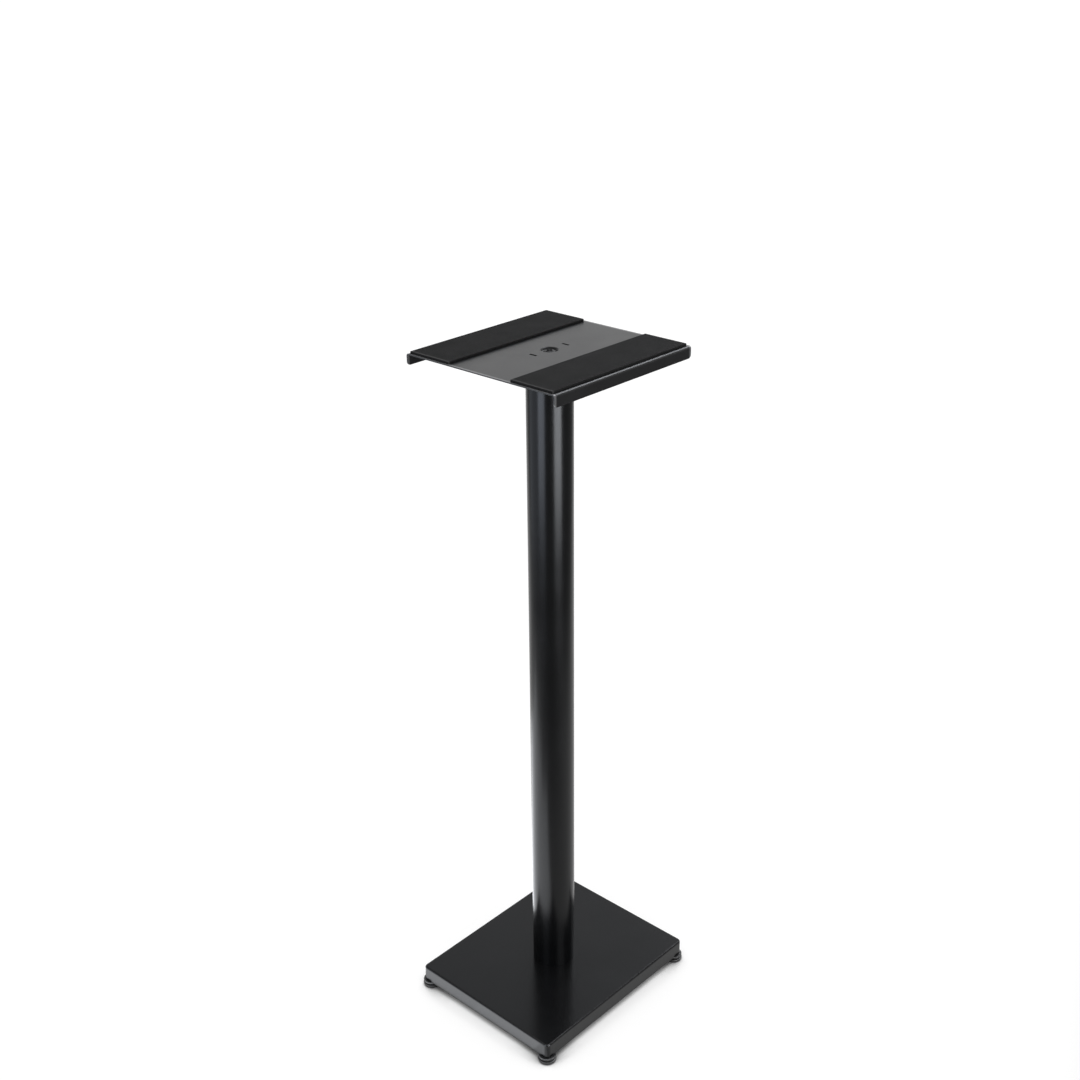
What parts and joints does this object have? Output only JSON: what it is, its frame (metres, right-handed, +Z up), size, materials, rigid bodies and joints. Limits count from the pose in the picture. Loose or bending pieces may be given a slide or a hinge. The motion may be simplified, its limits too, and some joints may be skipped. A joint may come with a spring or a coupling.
{
  "type": "speaker stand",
  "caption": "Floor-standing speaker stand: black folded-steel base on screw-in feet, one round column, flanged top plate with cushion pads, and a set of loose floor spikes.",
  "frame": {"origin": "on the floor, on the column's axis, at the centre of the four feet", "axes": "+Z up, -Y to the front, +X to the right seen from the front"},
  "size_m": [0.2448, 0.2948, 0.926],
  "materials": {
    "black_sheet": "fine satin black powder coat",
    "black_column": "smooth satin black powder coat",
    "black_bolt": "black oxide",
    "plated_steel": "zinc plated",
    "cushion_rubber": "matt foam rubber",
    "foot_plastic": "matt black",
    "foot_rubber": "satin black",
    "spike_brass": "pale brass plating"
  },
  "bodies": {
    "stand": {"base_pan": "black_sheet", "base_stiffener": "black_sheet", "base_bolt": "plated_steel", "base_washer": "plated_steel", "base_spring_washer": "plated_steel", "bottom_weld_nut": "plated_steel", "column_bottom_disc": "black_sheet", "column_tube": "black_column", "column_top_disc": "black_sheet", "top_weld_nut": "plated_steel", "top_plate": "black_sheet", "top_bolt": "black_bolt", "rest_pad_left": "cushion_rubber", "rest_pad_right": "cushion_rubber", "corner_gusset_front_left": "black_sheet", "corner_gusset_front_right": "black_sheet", "corner_gusset_back_left": "black_sheet", "corner_gusset_back_right": "black_sheet", "gusset_nut_front_left": "plated_steel", "gusset_nut_front_right": "plated_steel", "gusset_nut_back_left": "plated_steel", "gusset_nut_back_right": "plated_steel", "spike_1": "spike_brass", "spike_2": "spike_brass", "spike_3": "spike_brass", "spike_4": "spike_brass"},
    "foot_front_left": {"foot_pad_front_left": "foot_rubber"},
    "screw_front_left": {"foot_wheel_front_left": "foot_plastic", "foot_stud_front_left": "plated_steel"},
    "foot_front_right": {"foot_pad_front_right": "foot_rubber"},
    "screw_front_right": {"foot_wheel_front_right": "foot_plastic", "foot_stud_front_right": "plated_steel"},
    "foot_back_left": {"foot_pad_back_left": "foot_rubber"},
    "screw_back_left": {"foot_wheel_back_left": "foot_plastic", "foot_stud_back_left": "plated_steel"},
    "foot_back_right": {"foot_pad_back_right": "foot_rubber"},
    "screw_back_right": {"foot_wheel_back_right": "foot_plastic", "foot_stud_back_right": "plated_steel"}
  },
  "joints": [
    {"name": "foot_lift_front_left", "type": "slide", "parent": "stand", "child": "foot_front_left", "axis": [0, 0, -1], "range_m": [0, 0.008]},
    {"name": "foot_turn_front_left", "type": "hinge", "parent": "foot_front_left", "child": "screw_front_left", "pos_m": [-0.1102, -0.1352, 0.0085], "axis": [0, 0, -1], "range_deg": [0, 2880]},
    {"name": "foot_lift_front_right", "type": "slide", "parent": "stand", "child": "foot_front_right", "axis": [0, 0, -1], "range_m": [0, 0.008]},
    {"name": "foot_turn_front_right", "type": "hinge", "parent": "foot_front_right", "child": "screw_front_right", "pos_m": [0.1102, -0.1352, 0.0085], "axis": [0, 0, -1], "range_deg": [0, 2880]},
    {"name": "foot_lift_back_left", "type": "slide", "parent": "stand", "child": "foot_back_left", "axis": [0, 0, -1], "range_m": [0, 0.008]},
    {"name": "foot_turn_back_left", "type": "hinge", "parent": "foot_back_left", "child": "screw_back_left", "pos_m": [-0.1102, 0.1352, 0.0085], "axis": [0, 0, -1], "range_deg": [0, 2880]},
    {"name": "foot_lift_back_right", "type": "slide", "parent": "stand", "child": "foot_back_right", "axis": [0, 0, -1], "range_m": [0, 0.008]},
    {"name": "foot_turn_back_right", "type": "hinge", "parent": "foot_back_right", "child": "screw_back_right", "pos_m": [0.1102, 0.1352, 0.0085], "axis": [0, 0, -1], "range_deg": [0, 2880]}
  ],
  "couplings": [
    {"joint": "foot_lift_front_left", "follows": "foot_turn_front_left", "m_per_rad": 0.00015915},
    {"joint": "foot_lift_front_right", "follows": "foot_turn_front_right", "m_per_rad": 0.00015915},
    {"joint": "foot_lift_back_left", "follows": "foot_turn_back_left", "m_per_rad": 0.00015915},
    {"joint": "foot_lift_back_right", "follows": "foot_turn_back_right", "m_per_rad": 0.00015915}
  ]
}
